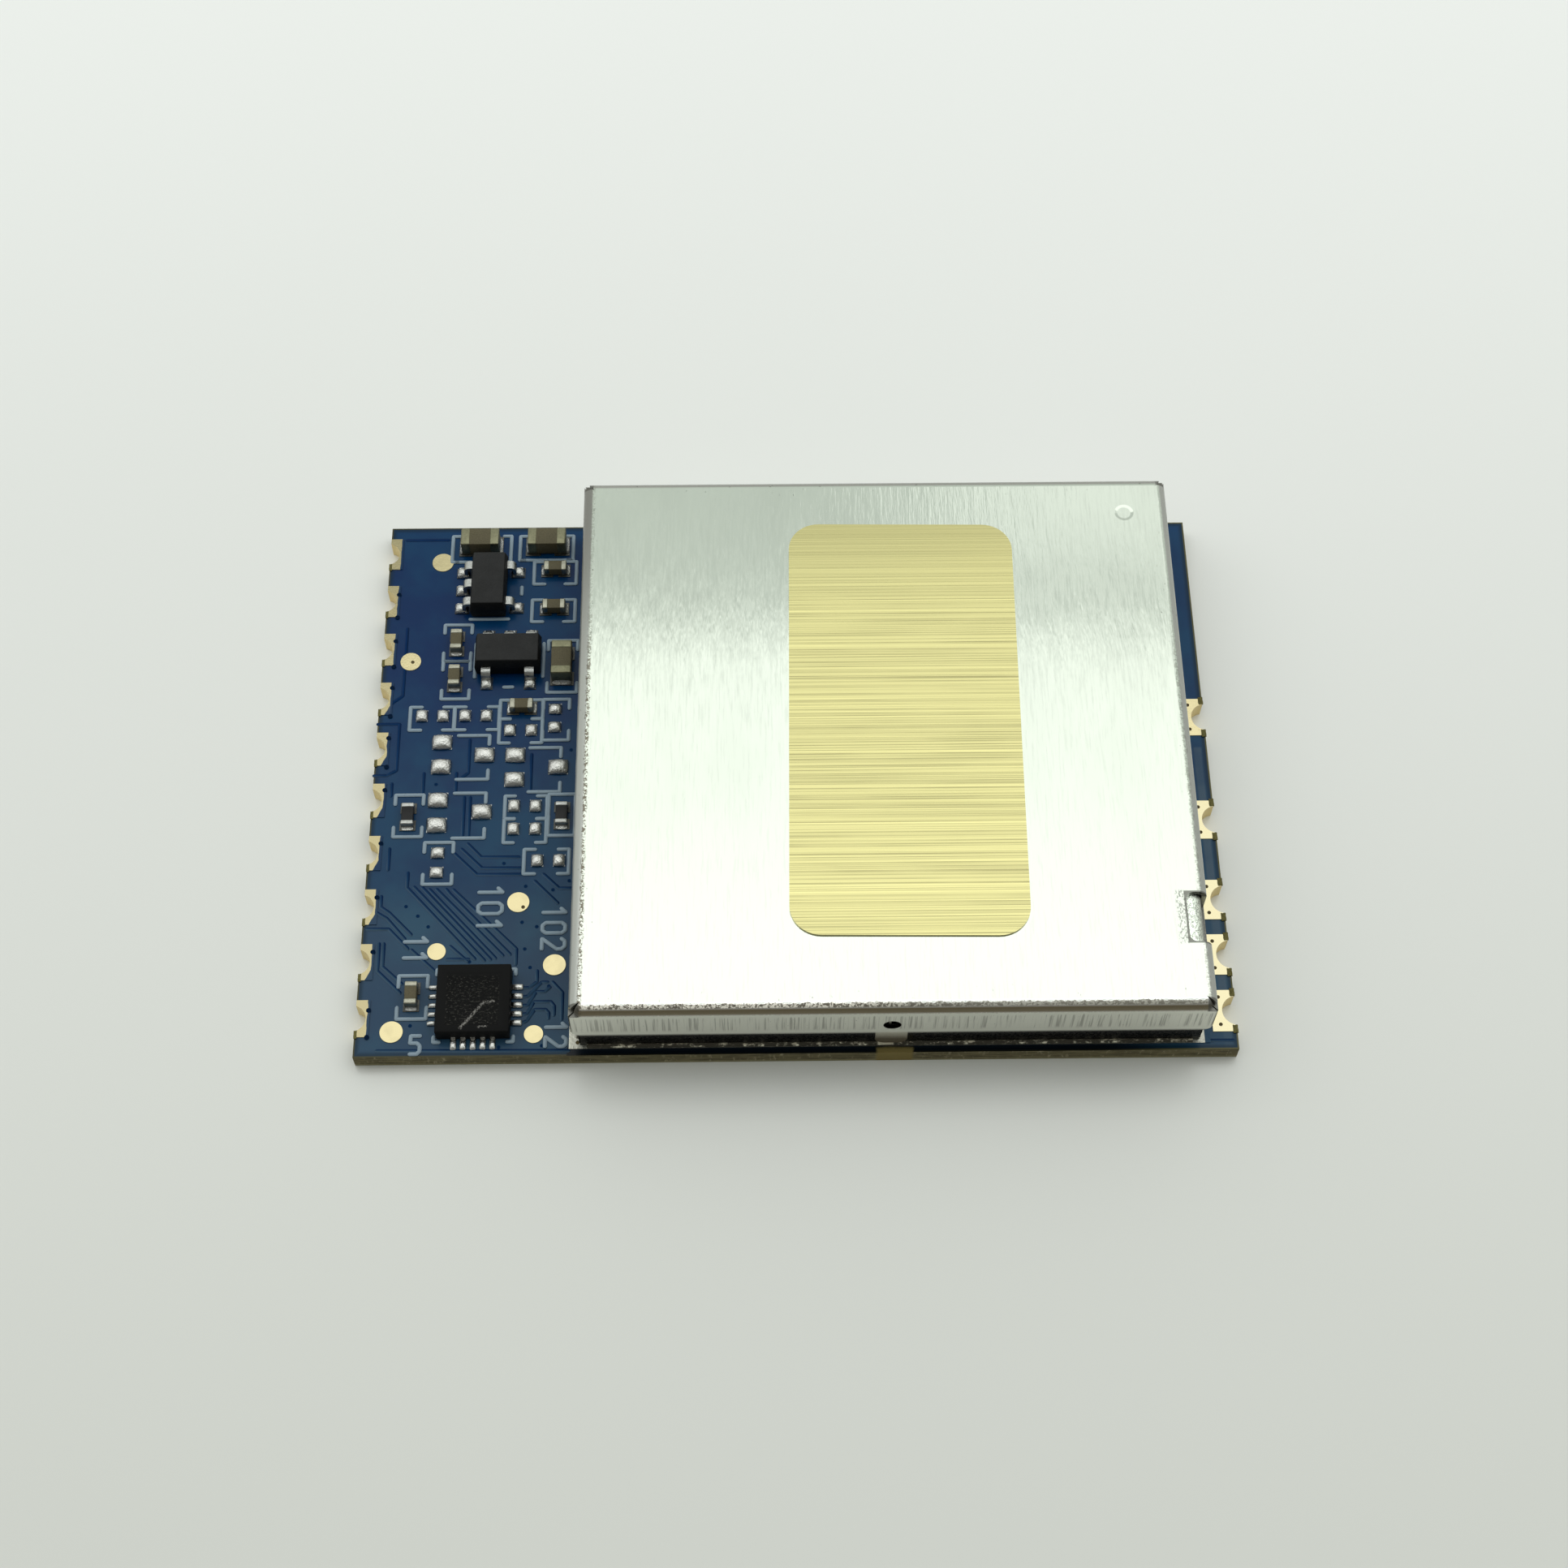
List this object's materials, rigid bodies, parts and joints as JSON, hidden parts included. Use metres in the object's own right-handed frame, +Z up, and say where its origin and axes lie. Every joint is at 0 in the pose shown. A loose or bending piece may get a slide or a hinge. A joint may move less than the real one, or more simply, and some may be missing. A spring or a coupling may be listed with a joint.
{
  "type": "video transmitter module",
  "caption": "Flat radio module: blue circuit board with half-hole edge contacts, small control parts along one side and a tinned sheet shield with a clip-on lid over the rest.",
  "frame": {"origin": "centre of the board's underside, on the surface that the module lies on", "axes": "+X along the board's long side from the control parts to the shield, +Y along its short side away from the lock tab in the picture, +Z up out of the component side"},
  "size_m": [0.036, 0.026, 0.0047],
  "materials": {
    "solder_mask": "semi-gloss blue solder mask on glass-fibre laminate",
    "gold_plating": "flat immersion gold over copper",
    "solder": "reflowed tin solder, bright and lumpy",
    "tinned_sheet": "brushed tin-plated steel sheet",
    "gold_foil": "pale gold brushed foil",
    "chip_mould": "matte black moulding compound",
    "capacitor_ceramic": "fired grey-brown ceramic",
    "resistor_glaze": "black glaze",
    "pale_ceramic": "pale fired ceramic",
    "ferrite": "dark pressed ferrite"
  },
  "bodies": {
    "root": {"circuit_board": "solder_mask", "left_castellations": "gold_plating", "right_castellations": "gold_plating", "test_pads": "gold_plating", "spare_lands": "solder", "component_lands": "solder", "shield_land_ring": "solder", "shield_frame": "tinned_sheet", "shield_solder": "solder", "shield_lid": "tinned_sheet", "label": "gold_foil", "control_chip": "chip_mould", "control_chip_terminals": "solder", "transmitter_chip": "chip_mould", "transmitter_chip_terminals": "solder", "amplifier_chip": "chip_mould", "amplifier_chip_terminals": "solder", "crystal_base": "pale_ceramic", "crystal_cap": "tinned_sheet", "choke_body": "ferrite", "choke_terminals": "solder", "bulk_capacitor_1_body": "capacitor_ceramic", "bulk_capacitor_1_terminals": "solder", "bulk_capacitor_2_body": "capacitor_ceramic", "bulk_capacitor_2_terminals": "solder", "bulk_capacitor_3_body": "capacitor_ceramic", "bulk_capacitor_3_terminals": "solder", "bypass_capacitor_1_body": "capacitor_ceramic", "bypass_capacitor_1_terminals": "solder", "bypass_capacitor_2_body": "capacitor_ceramic", "bypass_capacitor_2_terminals": "solder", "bypass_capacitor_3_body": "capacitor_ceramic", "bypass_capacitor_3_terminals": "solder", "bypass_capacitor_4_body": "capacitor_ceramic", "bypass_capacitor_4_terminals": "solder", "bypass_capacitor_5_body": "capacitor_ceramic", "bypass_capacitor_5_terminals": "solder", "bypass_capacitor_6_body": "capacitor_ceramic", "bypass_capacitor_6_terminals": "solder", "filter_capacitor_1_body": "capacitor_ceramic", "filter_capacitor_1_terminals": "solder", "filter_capacitor_2_body": "capacitor_ceramic", "filter_capacitor_2_terminals": "solder", "resistor_1_body": "resistor_glaze", "resistor_1_terminals": "solder", "resistor_2_body": "resistor_glaze", "resistor_2_terminals": "solder", "regulator_1_body": "chip_mould", "regulator_1_leads": "solder", "regulator_2_body": "chip_mould", "regulator_2_leads": "solder"}
  },
  "joints": []
}
